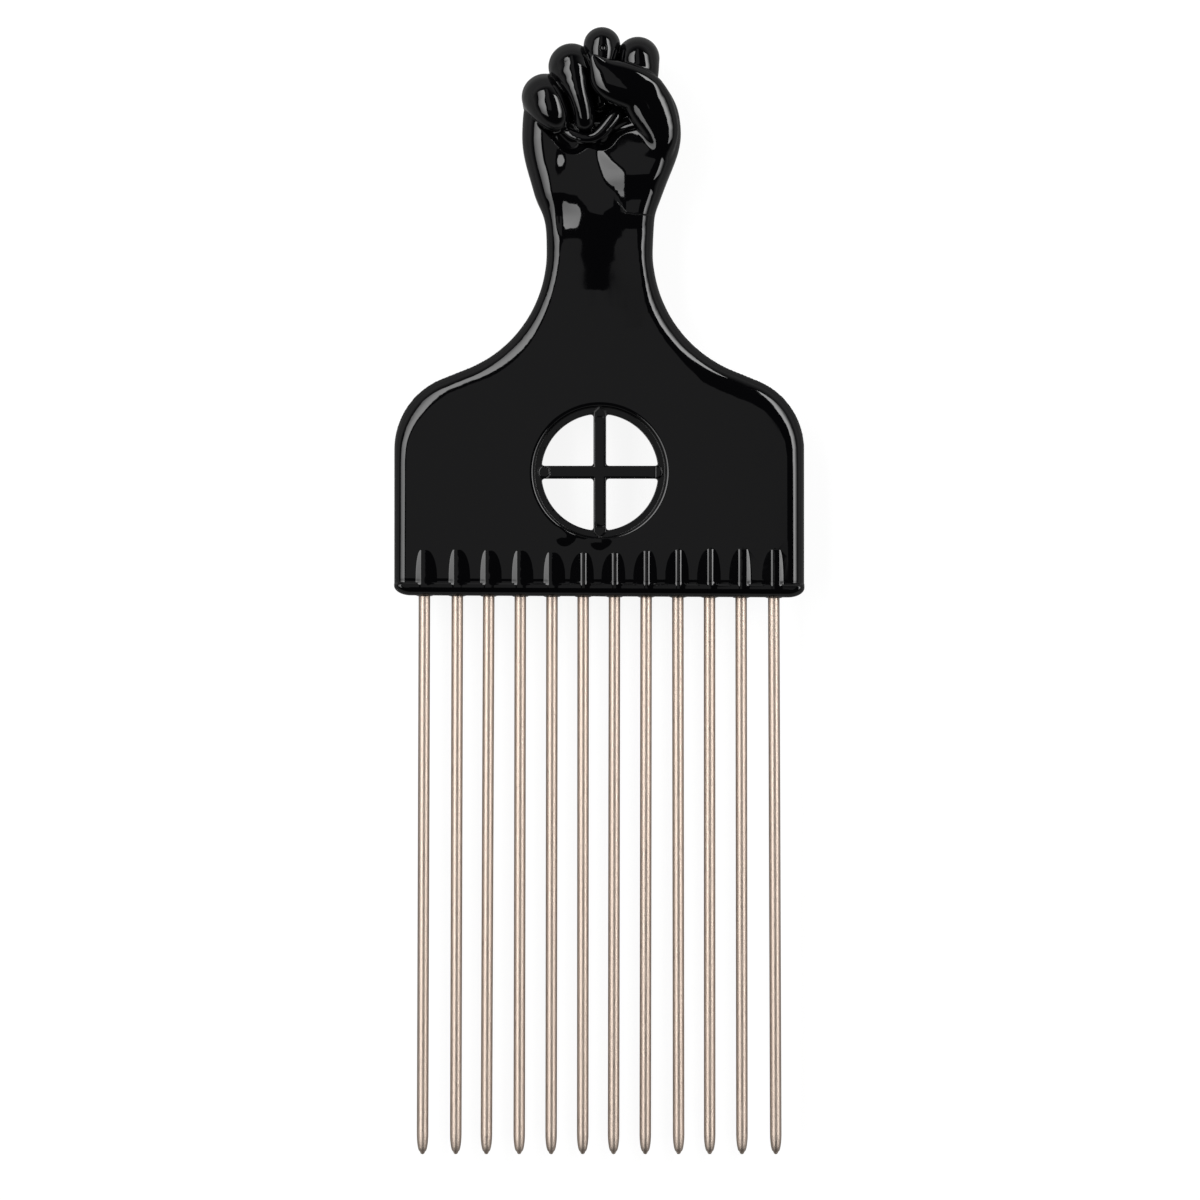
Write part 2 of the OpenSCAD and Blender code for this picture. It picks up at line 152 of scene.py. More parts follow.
arm = {
    # height, left and right half widths, depth of the back
    "rows": [
        (54.0, 9.12, 9.24, 2.5), (58.0, 9.12, 9.24, 2.7), (61.5, 9.13, 9.32, 3.1),
        (64.0, 9.3, 9.45, 3.5), (66.2, 9.85, 9.73, 3.9), (68.2, 10.75, 10.42, 4.3),
        (71.0, 11.65, 11.47, 4.8), (74.7, 12.7, 12.95, 5.4), (78.2, 13.3, 13.98, 5.9),
        (81.5, 13.3, 14.0, 6.2), (85.0, 12.9, 13.2, 6.4), (89.0, 11.3, 10.9, 6.4), (93.0, 8.4, 8.0, 6.2),
    ],
    "from": 56.0, "to": 62.0, "top": 90.5, "topEdge": 1.5, "backFrom": 50.0, "backOver": 6,
    # the front of the neck and the palm: heights over the middle plane at these x, row by row
    "x": (-14, -10, -7.4, -6.65, -5.8, -3.4, -2, -0.3, 0.5, 1.7, 2.8, 4.7, 6, 7.5, 10.5, 14),
    "front": [
        (46.0, 2.5, 2.5, 2.5, 2.5, 2.5, 2.5, 2.5, 2.5, 2.5, 2.5, 2.5, 2.5, 2.5, 2.5, 2.5, 2.5),
        (50.0, 2.55, 2.6, 2.64, 2.62, 2.66, 2.72, 2.7, 2.65, 2.63, 2.74, 2.8, 2.85, 2.85, 2.85, 2.79, 2.7),
        (53.0, 2.6, 2.65, 2.74, 2.72, 2.78, 2.9, 2.935, 2.87, 2.88, 3.02, 3.07, 3.125, 3.125, 3.125,
         3.04, 2.9),
        (54.0, 2.62, 2.67, 2.79, 2.78, 2.85, 2.99, 3.045, 2.98, 2.99, 3.115, 3.165, 3.215, 3.215, 3.215,
         3.13, 3.0),
        (58.0, 2.7, 2.75, 2.95, 3.0, 3.07, 3.36, 3.46, 3.52, 3.53, 3.5, 3.55, 3.58, 3.58, 3.58, 3.49, 3.4),
        (62.0, 2.85, 2.95, 3.2, 3.33, 3.44, 3.74, 3.95, 4.08, 4.1, 4.0, 3.94, 3.95, 3.95, 3.95, 3.9, 3.8),
        (64.5, 3.05, 3.15, 3.28, 3.12, 3.36, 4.0, 4.23, 4.42, 4.45, 4.37, 4.27, 4.17, 4.17, 4.17, 4.1, 4.0),
        (65.7, 3.15, 3.25, 3.34, 3.2, 3.44, 4.12, 4.4, 4.6, 4.63, 4.54, 4.43, 4.3, 4.3, 4.3, 4.2, 4.1),
        (66.3, 3.2, 3.3, 3.4, 3.27, 3.52, 4.2, 4.5, 4.68, 4.7, 4.63, 4.53, 4.38, 4.38, 4.38, 4.25, 4.15),
        (67.5, 3.35, 3.45, 3.6, 3.55, 3.8, 4.4, 4.63, 4.72, 4.74, 4.73, 4.72, 4.41, 4.41, 4.41, 4.35, 4.2),
        (68.5, 3.5, 3.65, 3.85, 3.9, 4.1, 4.52, 4.68, 4.74, 4.75, 4.745, 4.74, 4.42, 4.42, 4.42, 4.38, 4.25),
        (69.7, 3.6, 3.85, 4.15, 4.2, 4.3, 4.6, 4.7, 4.75, 4.76, 4.755, 4.75, 4.45, 4.45, 4.45, 4.4, 4.3),
        (71.5, 3.7, 3.95, 4.25, 4.32, 4.42, 4.64, 4.72, 4.77, 4.78, 4.78, 4.78, 4.6, 4.6, 4.55, 4.5, 4.4),
        (73.7, 3.8, 4.0, 4.3, 4.42, 4.52, 4.7, 4.74, 4.79, 4.8, 4.8, 4.8, 4.8, 4.8, 4.8, 4.75, 4.6),
        (75.3, 3.9, 4.05, 4.2, 4.45, 4.72, 4.78, 4.78, 4.82, 4.85, 4.9, 4.95, 5.05, 5.1, 5.15, 5.3, 5.0),
        (77.3, 4.0, 4.15, 4.4, 4.52, 4.64, 4.8, 4.82, 4.95, 5.05, 5.2, 5.4, 5.65, 5.8, 5.95, 6.2, 5.7),
        (79.5, 4.1, 4.3, 4.5, 4.58, 4.65, 4.8, 4.8, 4.95, 5.0, 5.2, 5.4, 5.7, 5.9, 6.2, 6.8, 6.3),
        (82.0, 3.9, 4.1, 4.2, 4.15, 4.1, 3.9, 3.8, 3.8, 3.9, 4.1, 4.3, 4.8, 5.3, 6.0, 7.0, 6.6),
        (84.5, 3.5, 3.4, 3.1, 3.0, 2.8, 2.5, 2.4, 2.4, 2.4, 2.5, 2.6, 3.2, 4.0, 5.2, 6.7, 6.4),
        (88.0, 2.6, 2.2, 1.9, 1.8, 1.7, 1.6, 1.5, 1.5, 1.5, 1.55, 1.6, 2.0, 2.4, 3.4, 5.0, 5.0),
        (95.0, 2.0, 1.6, 1.4, 1.3, 1.2, 1.2, 1.2, 1.2, 1.2, 1.2, 1.2, 1.4, 1.6, 1.8, 2.0, 2.0),
    ],
    # the mound under the thumb: height, where its left flank starts and ends, and how much it rises
    "mound": [(65.0, 3.4, 5.4, 0.2), (66.5, 3.4, 5.4, 0.22), (67.5, 3.4, 5.2, 0.26),
              (68.4, 3.2, 5.0, 0.31), (69.0, 3.4, 4.65, 0.37), (70.2, 2.6, 4.6, 0.52),
              (71.8, 0.75, 4.7, 1.05), (72.8, 0.4, 4.7, 1.22), (73.7, 0.1, 4.6, 1.25),
              (75.4, -0.3, 2.2, 0.72), (77.2, -0.5, 0.5, 0.2), (78.4, -0.6, 0.3, 0.0)],
    # the crease over the wrist: its height at these x, and the step up there, which is made up for
    # further up by the heights of the palm. It grows over this width and fades out below a height.
    "crease": [(2.8, 68.4), (3.8, 67.3), (4.7, 66.15), (6.0, 65.95), (9.5, 65.85)],
    "creaseRise": 0.28, "creaseWide": 0.3, "creaseGrows": 1.9, "creaseFade": (73.7, 4),
    "soften": 0.35, "step": 0.1,
}
# The x and y of the palm and the fist were read as seen from 1 m away, where what stands higher looks
# larger: a ball by its own height, and the palm's front by 4.5 mm
eye = {"distance": 1000, "palm": 1.0045}
# Balls along each limb of the fist: x, y, z, radius
fist = {
    "little": [(-9.7, 85.1, -3.4, 3.5), (-9.4, 86.2, -0.5, 3.88), (-9.3, 86.2, 2.6, 3.86),
               (-8.4, 84.3, 4.6, 3.1), (-7.3, 82.5, 4.2, 2.4)],
    "ring": [(-5.0, 90.5, -3.5, 3.4), (-4.8, 91.4, 0, 3.78), (-4.7, 91.35, 3.0, 3.74),
             (-3.9, 88.1, 5.6, 2.2), (-3.0, 85.0, 5.6, 1.85), (-2.55, 82.3, 4.8, 1.8)],
    "middle": [(0.6, 93.8, -3.6, 3.1), (0.5, 95.0, 0.3, 3.05), (0.45, 95.1, 2.9, 3.03),
               (0.35, 92.2, 3.4, 2.4), (0.1, 88.4, 1.8, 1.9), (0.2, 85.5, 1.6, 1.9)],
    "index": [(6.5, 92.0, -3.4, 3.4), (6.7, 92.85, 0, 3.6), (6.7, 92.85, 2.4, 3.6), (7.0, 90.2, 3.6, 3.2)],
    "thumb": [(-0.9, 93.2, 8.0, 0.65), (0.1, 91.6, 7.4, 1.65), (0.9, 90.4, 7.1, 2.4),
              (2.1, 89.3, 6.7, 3.4), (4.9, 88.3, 6.4, 3.8), (7.3, 87.0, 6.0, 3.85),
              (8.7, 84.7, 5.6, 4.0), (10.4, 81.2, 5.5, 3.2), (10.6, 78.4, 5.0, 2.5),
              (10.2, 76.0, 4.2, 1.7)],
    "core": [(0.6, 91.0, 3.6, 1.3), (2.4, 89.6, 3.6, 2.4), (5.0, 88.4, 3.4, 3.0), (7.3, 87.0, 3.2, 3.1),
             (8.7, 84.6, 3.0, 3.2), (10.2, 81.0, 3.0, 2.6)],
    "knuckle": [(9.0, 87.8, 6.3, 1.6), (9.4, 87.2, 6.3, 1.5)],
    "fold": [(-5.5, 80.3, 4.0, 0.8), (-3.8, 79.5, 4.3, 0.85), (-1.5, 79.3, 4.5, 0.9), (0.3, 80.3, 4.5, 1.1),
             (2.0, 82.2, 4.4, 1.2), (3.2, 83.6, 4.0, 1.2)],
    "trench": [(-13.5, 84.2, 5.0, 0.8), (-11.5, 82.6, 5.0, 0.95), (-8.1, 81.2, 5.0, 1.4),
               (-5.3, 78.6, 5.1, 1.7), (-3.4, 78.9, 5.1, 1.5), (-1.7, 79.3, 5.1, 1.25),
               (0.4, 78.8, 5.2, 1.4), (1.8, 80.2, 5.3, 1.4), (4.0, 81.9, 5.6, 1.5), (6.4, 82.3, 6.0, 1.4)],
}
# The trench is cut out of the palm and the other limbs are joined on in this order, each with its
# own fillet. A limb can be flatter in z than across by a factor.
limbs = [("fold", 0.15), ("middle", 0.15), ("ring", 0.15), ("little", 0.15), ("index", 0.15),
         ("core", 0.2), ("thumb", 0.4), ("knuckle", 0.8)]
limb = {"steps": 3, "fillet": 0.3, "reach": 1.5, "trenchSteps": 5, "trenchFillet": 0.6, "trenchEdge": 0.1}
flatness = {"thumb": 1.6}
# Pits in two fingertips: x, y, z, radius
pits, pitEdge, fistFrom = [(-9.1, 85.8, 6.8, 0.62), (0.7, 95.0, 6.3, 0.6)], 0.12, 71


# Distance inside one side of the plate: straight side, shoulder arc, slope, flare arc, neck
def sideInset(x, y, side):
    wide, shoulderY, shoulderR, turn, flareR, neck = side
    t = np.radians(turn)
    shoulderX = wide - shoulderR
    slope = ((wide - neck) - (shoulderR + flareR) * (1 - np.cos(t))) / np.sin(t)
    neckY = shoulderY + (shoulderR + flareR) * np.sin(t) + slope * np.cos(t)
    u, v = x - shoulderX - shoulderR * np.cos(t), y - shoulderY - shoulderR * np.sin(t)
    s = v * np.cos(t) - u * np.sin(t)
    return np.where(
        s < 0, np.where(y < shoulderY, wide - x, shoulderR - np.hypot(x - shoulderX, y - shoulderY)),
        np.where(s < slope, -(u * np.cos(t) + v * np.sin(t)),
                 np.where(y < neckY, np.hypot(x - neck - flareR, y - neckY) - flareR, neck - x)))


def plateInset(x, y):
    side = np.where(x < 0, sideInset(-x, y, plate["left"]), sideInset(x, y, plate["right"]))
    y = y + plate["drop"] * x + plate["low"]
    wide, high = plate["corner"]
    u, v = (wide - side) / wide, (high - y) / high
    q = np.hypot(u, v)
    corner = (1 - q) * q / np.maximum(np.hypot(u / wide, v / high), 1e-3)
    return np.where((u > 0) & (v > 0), corner, np.minimum(side, y))


# Distance from a slab whose rim is an arc of this radius. Where the radius is more than half the
# slab, the arcs of both faces meet in an edge, as they do at the parting line of a mould.
def rounded(inset, z, half, radius):
    low = radius - half
    reach = np.sqrt(radius ** 2 - np.maximum(low, 0) ** 2)
    u, v = reach - inset, np.abs(z) + low
    return np.minimum(np.maximum(u, v), 0) + np.hypot(np.maximum(u, 0), np.maximum(v, 0)) - radius


rimAt = smoothTable(plate["rim"])
armAt = smoothTable(arm["rows"])


# The front heights, drawn straight between the rows and columns and then softened both ways
def frontMap():
    xs = np.arange(arm["x"][0] - 1, arm["x"][-1] + 1, arm["step"])
    rows = np.array([r[0] for r in arm["front"]])
    ys = np.arange(rows[0] - 3, rows[-1] + 3, arm["step"])
    across = np.array([np.interp(xs, arm["x"], r[1:]) for r in arm["front"]])
    grid = np.array([np.interp(ys, rows, c) for c in across.T]).T
    mound = np.array(arm["mound"]).T
    start, end, rise = (np.interp(ys, mound[0], mound[k])[:, None] for k in (1, 2, 3))
    rise = rise * smoothStep((ys[:, None] - mound[0][0] + 1) / 1)
    grid += rise * np.clip((xs - start) / (end - start), 0, 1)
    spread = arm["soften"] / arm["step"]
    grid = soften(soften(grid, spread, 0), spread, 1)
    creaseX, creaseY = np.array(arm["crease"]).T
    fadeTop, fadeOver = arm["creaseFade"]

    def at(x, y):
        x, y = x * eye["palm"], y * eye["palm"]
        u = np.clip((x - xs[0]) / arm["step"], 0, len(xs) - 1.001)
        v = np.clip((y - ys[0]) / arm["step"], 0, len(ys) - 1.001)
        i, j = u.astype(int), v.astype(int)
        a, b = u - i, v - j
        smooth = ((grid[j, i] * (1 - a) + grid[j, i + 1] * a) * (1 - b)
                  + (grid[j + 1, i] * (1 - a) + grid[j + 1, i + 1] * a) * b)
        step = smoothStep((y - np.interp(x, creaseX, creaseY)) / arm["creaseWide"])
        step = step * np.clip((fadeTop - y) / fadeOver, 0, 1)
        return smooth + arm["creaseRise"] * step * np.clip((x - creaseX[0]) / arm["creaseGrows"], 0, 1)
    return at


frontAt = frontMap()


# How far each kind of ridge falls at a distance from its wire: straight lines, softened
def sectionMap(step=0.01):
    s = np.arange(-4, 4, step)
    tables = []
    for rows in ridges["sections"]:
        x, fall = np.array(rows).T
        first, last = (fall[0] - fall[1]) / (x[1] - x[0]), (fall[-1] - fall[-2]) / (x[-1] - x[-2])
        straight = np.interp(s, x, fall) + np.maximum(x[0] - s, 0) * first + np.maximum(s - x[-1], 0) * last
        tables.append(soften(straight, ridges["soften"] / step))
    return lambda p, kind: np.select([kind == k for k in range(len(tables))],
                                     [np.interp(p, s, t) for t in tables])


fallAt = sectionMap()


def nearestWire(x):
    return np.clip(np.rint((x - ridges["places"][0]) / ridges["pitch"]), 0, ridges["last"]).astype(int)


# What stands above the plate's faces: the rail along the bottom and a ridge over each wire
def relief(x, y):
    y = y + plate["drop"] * x
    rail = plate["railRise"] * smoothStep((plate["railFoot"] - y) / (plate["railFoot"] - plate["railCrest"]))
    i = nearestWire(x)
    kind, top = np.array(ridges["kind"])[i], np.array(ridges["tops"])[i]
    up = np.clip((y - ridges["foot"]) / (top - ridges["foot"]), 0, 1)
    above, over = ridges["spineEnd"]
    crest = (np.array(ridges["wing"])[kind] * np.sqrt(np.maximum(1 - up ** 2, 0))
             + np.array(ridges["spine"])[kind] * smoothStep((top + above - y) / over))
    fall = fallAt(x - np.array(ridges["places"])[i], kind)
    fillet = ridges["faceFillet"] * smoothStep(crest / ridges["filletFrom"]) + tiny
    ridge = -join(fall - crest, np.zeros(x.shape), fillet)
    fillet = ridges["railFillet"] * smoothStep(np.minimum(rail, ridge) / ridges["filletFrom"]) + tiny
    raised = -join(-rail, -ridge, fillet)
    middle, wide, depth, closed = plate["railDip"]
    raised = raised - depth * np.exp(-((y - middle) / wide) ** 2) * np.clip(1 - ridge / closed, 0, 1)
    for sx, sy, r, high in plate["swells"]:
        raised = raised + high * np.clip(1 - ((x - sx) ** 2 + (y - sy) ** 2) / r ** 2, 0, 1) ** 2
    return raised


# Plate, neck, wrist and palm are one slab: an outline, a front height and a back depth
def bladeField(x, y, z):
    front, back = np.full(x.shape, plate["half"]), np.full(x.shape, plate["half"])
    k = y < plate["reliefTo"]
    if k.any():
        front[k] = back[k] = plate["half"] + relief(x[k], y[k])
    inset = plateInset(x, y)
    tilt = np.zeros(x.shape)
    k = y > arm["front"][0][0] - 2
    if k.any():
        p, q, e = x[k], y[k], 0.1
        left, right = armAt(q, 0), armAt(q, 1)
        lean = [(armAt(q + e, i) - armAt(q - e, i)) / (2 * e) for i in (0, 1)]
        inside = np.minimum((p + left) / np.hypot(1, lean[0]), (right - p) / np.hypot(1, lean[1]))
        blend = smoothStep((q - arm["from"]) / (arm["to"] - arm["from"]))
        inset[k] = inset[k] * (1 - blend) + inside * blend
        front[k] = frontAt(p, q)
        deeper = smoothStep((q - arm["backFrom"]) / arm["backOver"])
        back[k] = plate["half"] + (armAt(q, 2) - plate["half"]) * deeper
        slope = np.hypot(frontAt(p + e, q) - frontAt(p - e, q),
                         frontAt(p, q + e) - frontAt(p, q - e)) / (2 * e)
        tilt[k] = np.where(z[k] > 0, slope * np.clip(z[k] / front[k], 0, 1), 0)
    side = smoothStep((x + plate["middle"]) / (2 * plate["middle"]))
    radius = rimAt(y, 0) * (1 - side) + rimAt(y, 1) * side
    bottom, begin, over = plate["bottomRim"]
    radius = bottom + (radius - bottom) * smoothStep((y - begin) / over)
    # along the right of the neck the rim's arc meets the face at an angle
    share, begin, end, over, easing = plate["neckLift"]
    lift = share * radius * side * smoothStep((y - begin) / over) * smoothStep((end - y) / over)
    half = np.where(z > 0, front, back)
    d = cut(rounded(inset, z, half + lift, radius), half - np.abs(z), easing * lift + tiny)
    d = d / np.hypot(1, tilt)
    d = cut(d, arm["top"] - y, arm["topEdge"])
    wide, drop, high, fillet = plate["collar"]
    k = y < 2 * high
    if k.any():
        r = np.hypot(x[k] - np.array(ridges["places"])[nearestWire(x[k])], z[k])
        low = y[k] + plate["drop"] * x[k]
        collar = np.maximum(r - wide, np.maximum(-drop - low, low - high))
        d[k] = join(d[k], collar, fillet)
    return d


# Window: a ledge round the opening and the bars that cross it
def windowField(x, y, z, d):
    w = window
    x, y, z = x - w["x"], y - w["y"], np.abs(z)
    r = np.hypot(x, y)
    plateRound = cut(d, r - w["ledge"], w["lip"])
    across, along = np.abs(y) - w["bar"], np.abs(x) - w["bar"]
    walls = join(join(across, along, w["corner"]), w["opening"] - r, w["corner"])
    ledge = cut(np.maximum(walls, r - w["ledge"] - w["overlap"]), w["ledgeZ"] - z, w["ledgeEdge"])
    end, (pegX, pegR) = w["barEnd"], w["peg"]
    peg = np.hypot(x - pegX, y) - pegR
    barX = np.maximum(across, np.maximum(x - end, pegX - x))
    barX = np.minimum(np.where(x > end, np.hypot(x - end, y) - w["bar"], barX), peg)
    barY = np.maximum(along, (np.abs(y) + np.abs(x) - w["point"]) * 0.707)
    bars = cut(np.minimum(barX, barY), w["barZ"] - z, w["barEdge"])
    d = np.minimum(join(plateRound, ledge, w["ledgeEdge"]), bars)
    ringX, ringY, ringR = w["ring"]
    marks = np.hypot(np.hypot(x - ringX, y - ringY) - ringR, z - w["barZ"])
    for x0, y0, x1, y1 in w["strokes"]:
        wide, high = x1 - x0, y1 - y0
        share = np.clip(((x - x0) * wide + (y - y0) * high) / (wide ** 2 + high ** 2), 0, 1)
        level = w["barZ"] if abs(y0) < w["strokesOnBars"] else w["ledgeZ"]
        marks = np.minimum(marks, np.sqrt((x - x0 - share * wide) ** 2 + (y - y0 - share * high) ** 2
                                          + (z - level) ** 2))
    return cut(d, marks - w["stroke"], w["strokeEdge"])


# Exact distance to the cone that touches two balls
def link(x, y, z, a, b):
    v, fall = b[:3] - a[:3], a[3] - b[3]
    l2 = float(v @ v)
    px, py, pz = x - a[0], y - a[1], z - a[2]
    s = (px * v[0] + py * v[1] + pz * v[2]) / np.sqrt(l2)
    t = s - np.sqrt(l2)
    off2 = np.maximum(px * px + py * py + pz * pz - s * s, 0)
    k = np.sign(fall) * fall * fall * off2
    lean = l2 - fall * fall
    d = np.where(np.sign(t) * lean * t * t > k, np.sqrt(off2 + t * t) - b[3],
                 np.sqrt(off2 * lean / l2) + s * fall / np.sqrt(l2) - a[3])
    return np.where(np.sign(s) * lean * s * s < k, np.sqrt(off2 + s * s) - a[3], d)


# A limb: balls on a smooth path, joined link by link
def limbField(x, y, z, name, steps=limb["steps"], soft=limb["fillet"]):
    balls, flat = fist[name], flatness.get(name, 1)
    path = smoothTable([(i,) + tuple(b) for i, b in enumerate(balls)])
    t = np.linspace(0, len(balls) - 1, (len(balls) - 1) * steps + 1)
    b = np.stack([path(t, k) for k in range(4)], 1)
    b[:, :2] *= 1 - b[:, 2:3] / eye["distance"]
    b[:, 2] *= flat
    z = z * flat
    reach = limb["reach"]
    low, high = (b[:, :3] - b[:, 3:]).min(0) - reach, (b[:, :3] + b[:, 3:]).max(0) + reach
    k = ((x > low[0]) & (x < high[0]) & (y > low[1]) & (y < high[1]) & (z > low[2]) & (z < high[2]))
    d = np.full(x.shape, reach)
    if k.any():
        x, y, z = x[k], y[k], z[k]
        near = link(x, y, z, b[0], b[1])
        for i in range(1, len(b) - 1):
            near = join(near, link(x, y, z, b[i], b[i + 1]), soft)
        d[k] = near
    return d


# The whole handle: negative inside, zero on its surface, and near it about the distance in mm
def handleField(x, y, z):
    d = bladeField(x, y, z)
    k = (np.abs(y - window["y"]) < window["around"]) & (np.abs(x) < window["around"])
    if k.any():
        d[k] = windowField(x[k], y[k], z[k], d[k])
    k = y > fistFrom
    if k.any():
        x, y, z, f = x[k], y[k], z[k], d[k]
        trench = limbField(x, y, z, "trench", limb["trenchSteps"], limb["trenchFillet"])
        f = cut(f, trench, limb["trenchEdge"])
        for name, fillet in limbs:
            f = join(f, limbField(x, y, z, name), fillet)
        for px, py, pz, r in pits:
            px, py = px * (1 - pz / eye["distance"]), py * (1 - pz / eye["distance"])
            f = cut(f, np.sqrt((x - px) ** 2 + (y - py) ** 2 + (z - pz) ** 2) - r, pitEdge)
        d[k] = f
    return d


# Samples the distance on a grid, but only in blocks of cells that the surface may cross, then puts
# one point in every crossed cell and a face across every crossed edge. The fist has overhangs and
# fillets between pieces that meet at any angle, which no single grid of two parameters can follow.
def skinOf(field, xs, ys, zs, block=8, atOnce=700):
    shape = tuple(-(-len(a) // block) * block for a in (xs, ys, zs))
    axes = [np.concatenate([a, a[-1] + (a[-1] - a[-2]) * np.arange(1, n - len(a) + 1)])
            for a, n in zip((xs, ys, zs), shape)]
    mids = [a.reshape(-1, block).mean(1) for a in axes]
    spans = [np.diff(a).max() * block for a in axes]
    centre = np.stack(np.meshgrid(*mids, indexing="ij"), -1).reshape(-1, 3)
    value = field(*centre.T.copy()).reshape([len(m) for m in mids])
    # half a block's diagonal, and more, because the field is only about the distance
    reach = 0.5 * np.linalg.norm(spans) * 1.5 + 0.4
    f = np.where(value < 0, -9, 9).astype(np.float32)
    for axis in range(3):
        f = np.repeat(f, block, axis)
    active = np.argwhere(np.abs(value) < reach)
    step = np.arange(block)
    for part in np.array_split(active, max(1, len(active) // atOnce)):
        i, j, k = ((part[:, n, None] * block + step) for n in range(3))
        shape4 = (len(part), block, block, block)
        ii = np.broadcast_to(i[:, :, None, None], shape4).ravel()
        jj = np.broadcast_to(j[:, None, :, None], shape4).ravel()
        kk = np.broadcast_to(k[:, None, None, :], shape4).ravel()
        f[ii, jj, kk] = field(axes[0][ii], axes[1][jj], axes[2][kk])
    inside = f < 0
    some = np.zeros(tuple(n - 1 for n in inside.shape), np.int8)
    for a in (0, 1):
        for b in (0, 1):
            for c in (0, 1):
                some += inside[a:a + some.shape[0], b:b + some.shape[1], c:c + some.shape[2]]
    cells = np.argwhere((some > 0) & (some < 8))
    number = np.full(some.shape, -1, np.int32)
    number[tuple(cells.T)] = np.arange(len(cells))
    total, count = np.zeros((len(cells), 3)), np.zeros(len(cells))
    for axis in range(3):
        others = [n for n in range(3) if n != axis]
        for a in (0, 1):
            for b in (0, 1):
                lowCorner = cells.copy()
                lowCorner[:, others[0]] += a
                lowCorner[:, others[1]] += b
                highCorner = lowCorner.copy()
                highCorner[:, axis] += 1
                f0, f1 = f[tuple(lowCorner.T)], f[tuple(highCorner.T)]
                crossed = (f0 < 0) != (f1 < 0)
                share = np.where(crossed, f0 / np.where(crossed, f0 - f1, 1), 0)
                point = np.stack([axes[n][lowCorner[:, n]] for n in range(3)], 1)
                point[:, axis] += share * (axes[axis][highCorner[:, axis]] - axes[axis][lowCorner[:, axis]])
                total += point * crossed[:, None]
                count += crossed
    points = total / count[:, None]
    faces = []
    for axis in range(3):
        u, v = (axis + 1) % 3, (axis + 2) % 3
        a = np.take(inside, range(inside.shape[axis] - 1), axis)
        b = np.take(inside, range(1, inside.shape[axis]), axis)
        edges = np.argwhere(a != b)
        edges = edges[(edges[:, u] > 0) & (edges[:, v] > 0)]
        out = inside[tuple(edges.T)]
        quad = []
        for du, dv in ((0, 0), (-1, 0), (-1, -1), (0, -1)):
            c = edges.copy()
            c[:, u] += du
            c[:, v] += dv
            quad.append(number[tuple(c.T)])
        quad = np.stack(quad, 1)
        faces.append(np.where(out[:, None], quad, quad[:, ::-1]))
    return points, np.concatenate(faces)


# Steps along the slope of the distance until the point lies on the surface; also the direction there
def settle(field, points, rounds=2, e=0.02, furthest=0.12):
    def slope(p):
        g = np.stack([field(*(p + d).T.copy()) - field(*(p - d).T.copy()) for d in np.eye(3) * e], 1)
        return g / (2 * e)
    p = points.copy()
    for _ in range(rounds):
        g = slope(p)
        move = field(*p.T.copy())[:, None] * g / np.maximum((g * g).sum(1), 0.2)[:, None]
        length = np.linalg.norm(move, axis=1)
        p -= move * np.minimum(1, furthest / np.maximum(length, 1e-9))[:, None]
    g = slope(p)
    return p, g / np.maximum(np.linalg.norm(g, axis=1), 1e-9)[:, None]


def makeMesh(name, points, faces):
    mesh = bpy.data.meshes.new(name)
    mesh.vertices.add(len(points))
    mesh.vertices.foreach_set("co", ((points + datum) * 0.001).astype(np.float32).ravel())
    sides = faces.shape[1]
    mesh.loops.add(len(faces) * sides)
    mesh.loops.foreach_set("vertex_index", faces.astype(np.int32).ravel())
    mesh.polygons.add(len(faces))
    mesh.polygons.foreach_set("loop_start", np.arange(0, len(faces) * sides, sides, dtype=np.int32))
    mesh.update(calc_edges=True)
    mesh.validate()
    return mesh


def pointsOf(mesh):
    co = np.empty(len(mesh.vertices) * 3, np.float32)
    mesh.vertices.foreach_get("co", co)
    return co.reshape(-1, 3).astype(float) * 1000 - datum


# Halves or thirds the edges whose two ends lie in a zone, so that fine detail has points to sit on
def refine(mesh, zone, cuts):
    inZone = zone(*pointsOf(mesh).T)
    ends = np.empty(len(mesh.edges) * 2, np.int32)
    mesh.edges.foreach_get("vertices", ends)
    chosen = np.flatnonzero(inZone[ends.reshape(-1, 2)].all(1))
    bm = bmesh.new()
    bm.from_mesh(mesh)
    bm.edges.ensure_lookup_table()
    bmesh.ops.subdivide_edges(bm, edges=[bm.edges[i] for i in chosen], cuts=cuts, use_grid_fill=True)
    bm.to_mesh(mesh)
    bm.free()


grid = {
    "x": 0.24, "yPlate": 0.25, "yFist": 0.2, "fistFrom": 62.0, "z": 0.22, "triangles": 190000,
    # where the samples start and end, and small shifts that keep them off flat faces
    "xEnds": (-36.1, 36.2), "yEnds": (-0.9, 99.2), "zEnds": (-7.7, 10.0), "shift": (0.0137, 0.0171, 0.0093),
    # finer zones: the ridges up to a height and over a depth, a ring from one radius to another and
    # the fist over a height and a depth
    "ridges": (9.6, 1.2), "ring": (8.6, 12.6), "fist": (63, -1),
    # a face of more than this many square metres is a large flat one
    "largeFace": 1e-7,
}


def ridgeZone(x, y, z):
    return (y < grid["ridges"][0]) & (np.abs(z) > grid["ridges"][1])


def ringZone(x, y, z):
    r = np.hypot(x - window["x"], y - window["y"])
    return (r > grid["ring"][0]) & (r < grid["ring"][1])


def fistZone(x, y, z):
    return (y > grid["fist"][0]) & (z > grid["fist"][1])


